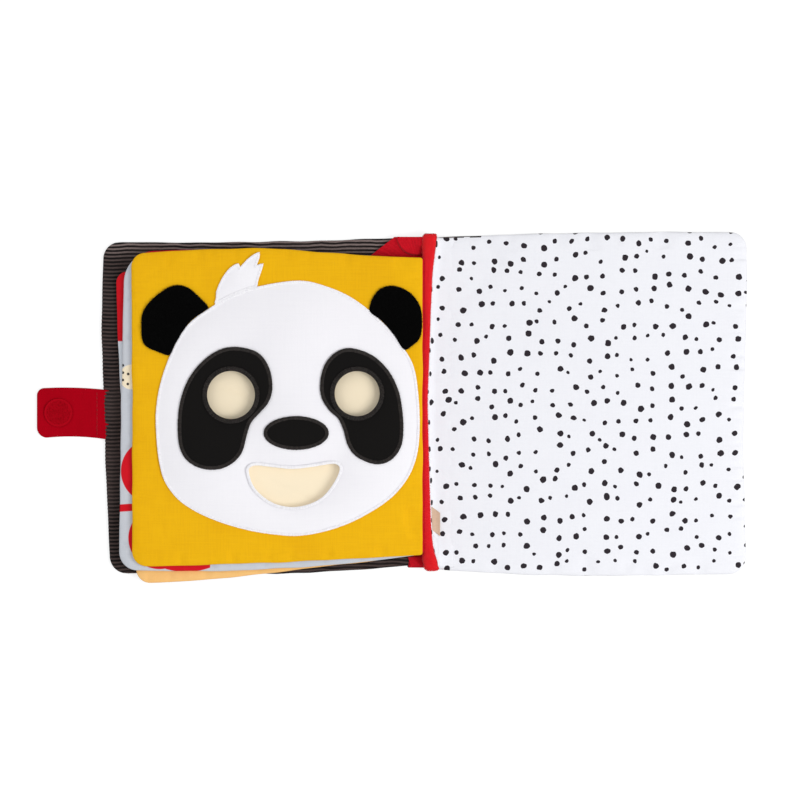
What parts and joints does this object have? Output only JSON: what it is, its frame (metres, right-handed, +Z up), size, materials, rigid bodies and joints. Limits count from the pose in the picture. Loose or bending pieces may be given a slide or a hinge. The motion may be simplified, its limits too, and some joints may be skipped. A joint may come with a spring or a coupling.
{
  "type": "cloth book",
  "caption": "Soft padded book lying open, with turning leaves, a mask leaf with peep holes, dotted lining and a fold-over strap.",
  "frame": {"origin": "on the table under the hinge line of the spine, half way up the book", "axes": "+X from the spine to the free edge of the dotted cover, +Y to the head of the pages, +Z up from the table"},
  "size_m": [0.4257, 0.2102, 0.0158],
  "materials": {
    "corduroy": "ribbed pile",
    "dotted_cotton": "plain weave, printed dots",
    "yellow_cotton": "plain weave",
    "white_cotton": "plain weave",
    "printed_cotton": "plain weave, printed",
    "peach_cotton": "plain weave",
    "red_cotton": "plain weave",
    "black_satin": "satin weave",
    "black_plush": "short pile",
    "wadding": "fibre",
    "crinkle_film": "thin film",
    "hook_and_loop": "hook-and-loop",
    "woven_label": "woven"
  },
  "bodies": {
    "left_cover": {"left_cover_outer": "corduroy", "left_cover_inner": "corduroy", "left_cover_wadding": "wadding", "spine_strip": "corduroy", "spine_binding": "red_cotton", "spine_wall_left": "red_cotton", "lining_fold_top": "red_cotton", "lining_fold_bottom": "red_cotton"},
    "leaf_1": {"leaf_1_front": "peach_cotton", "leaf_1_back": "red_cotton", "leaf_1_film": "crinkle_film", "leaf_1_wadding": "wadding", "leaf_1_root_tape": "red_cotton"},
    "leaf_2": {"leaf_2_front": "printed_cotton", "leaf_2_back": "printed_cotton", "leaf_2_film": "crinkle_film", "leaf_2_wadding": "wadding", "leaf_2_root_tape": "red_cotton"},
    "leaf_3": {"leaf_3_front": "yellow_cotton", "leaf_3_back": "white_cotton", "leaf_3_film": "crinkle_film", "leaf_3_wadding": "wadding", "leaf_3_root_tape": "red_cotton", "face": "white_cotton", "hair_tuft": "white_cotton", "eye_patch_left": "black_satin", "eye_patch_right": "black_satin", "nose": "black_satin", "mouth_rim": "white_cotton", "eye_rim_left": "black_satin", "eye_rim_right": "black_satin"},
    "ear_left": {"ear_left": "black_plush"},
    "ear_right": {"ear_right": "black_plush"},
    "right_cover": {"right_cover_outer": "corduroy", "right_cover_lining": "dotted_cotton", "right_cover_wadding": "wadding", "spine_wall_right": "dotted_cotton", "loop_disc": "hook_and_loop", "woven_label": "woven_label", "care_label": "white_cotton"},
    "strap_riser": {"strap_riser": "red_cotton"},
    "strap_end": {"strap_end": "red_cotton", "hook_disc": "hook_and_loop"}
  },
  "joints": [
    {"name": "leaf_1_turn", "type": "hinge", "parent": "left_cover", "child": "leaf_1", "pos_m": [0, 0, 0.00985], "axis": [0, -1, 0], "range_deg": [-25, 0]},
    {"name": "leaf_2_turn", "type": "hinge", "parent": "leaf_1", "child": "leaf_2", "pos_m": [0, 0, 0.00985], "axis": [0, -1, 0], "range_deg": [-35, 0]},
    {"name": "leaf_3_turn", "type": "hinge", "parent": "leaf_2", "child": "leaf_3", "pos_m": [0, 0, 0.00985], "axis": [0, -1, 0], "range_deg": [-105, 0]},
    {"name": "cover_close", "type": "hinge", "parent": "left_cover", "child": "right_cover", "pos_m": [0, 0, 0.00985], "axis": [0, -1, 0], "range_deg": [0, 180]},
    {"name": "strap_rise", "type": "hinge", "parent": "left_cover", "child": "strap_riser", "pos_m": [-0.19221, -0.0052, 0.0024], "axis": [0, 1, 0], "range_deg": [0, 90]},
    {"name": "strap_fold", "type": "hinge", "parent": "strap_riser", "child": "strap_end", "pos_m": [-0.21101, -0.0052, 0.0024], "axis": [0, 1, 0], "range_deg": [0, 90]},
    {"name": "ear_left_flap", "type": "hinge", "parent": "leaf_3", "child": "ear_left", "pos_m": [-0.1445, 0.0452, 0.01575], "axis": [-0.6837, -0.7298, 0], "range_deg": [-170, 0]},
    {"name": "ear_right_flap", "type": "hinge", "parent": "leaf_3", "child": "ear_right", "pos_m": [-0.02424, 0.04881, 0.01575], "axis": [-0.7237, 0.6901, 0], "range_deg": [-170, 0]}
  ]
}
